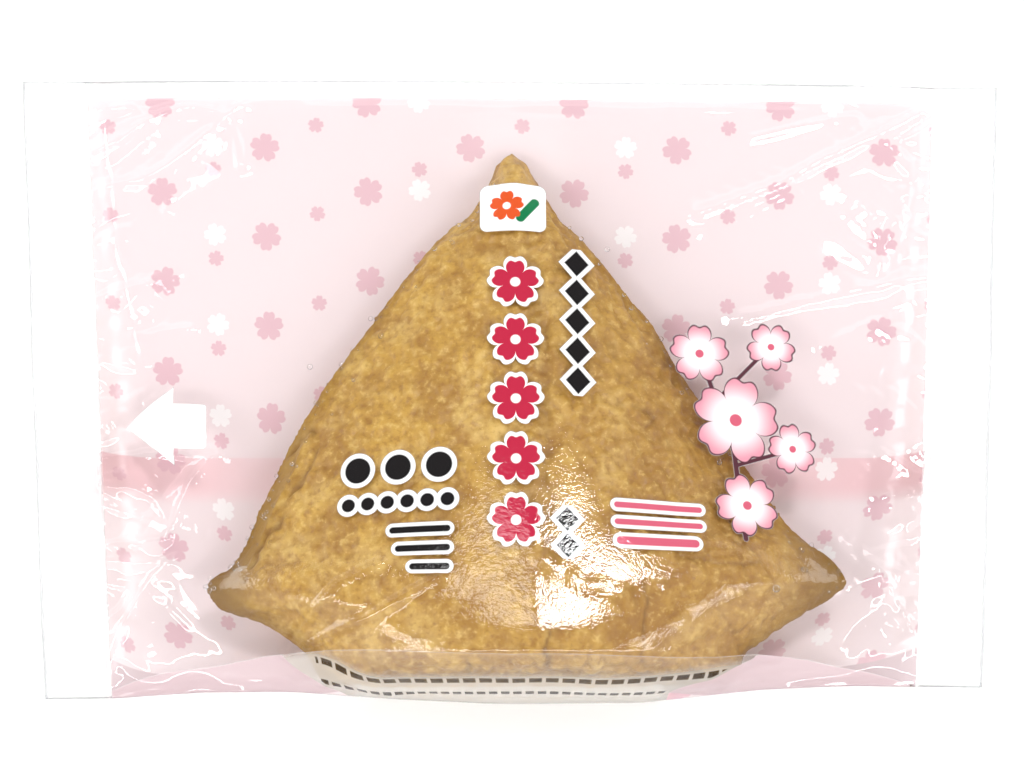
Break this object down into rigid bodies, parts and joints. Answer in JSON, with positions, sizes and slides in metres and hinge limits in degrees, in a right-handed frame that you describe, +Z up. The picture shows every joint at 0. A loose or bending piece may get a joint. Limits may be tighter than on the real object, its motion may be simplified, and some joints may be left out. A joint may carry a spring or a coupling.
{
  "type": "inari sushi in a clear film pack",
  "caption": "Three-cornered inari sushi of seasoned fried tofu, sealed in a clear printed flow-wrap film pack with a flat seal at each end, lying on its back.",
  "frame": {"origin": "on the table, under the middle of the pack's box", "axes": "+X along the pack from the left seal to the right seal, +Y from the sushi's base to its tip, +Z up from the table to the shown face"},
  "size_m": [0.1588, 0.1014, 0.0234],
  "materials": {
    "film": "clear glossy film, with a pale pink print on the back",
    "fried_tofu": "moist, wrinkled, golden-brown fried tofu skin"
  },
  "bodies": {
    "root": {"film_pack": "film"}
  },
  "joints": []
}
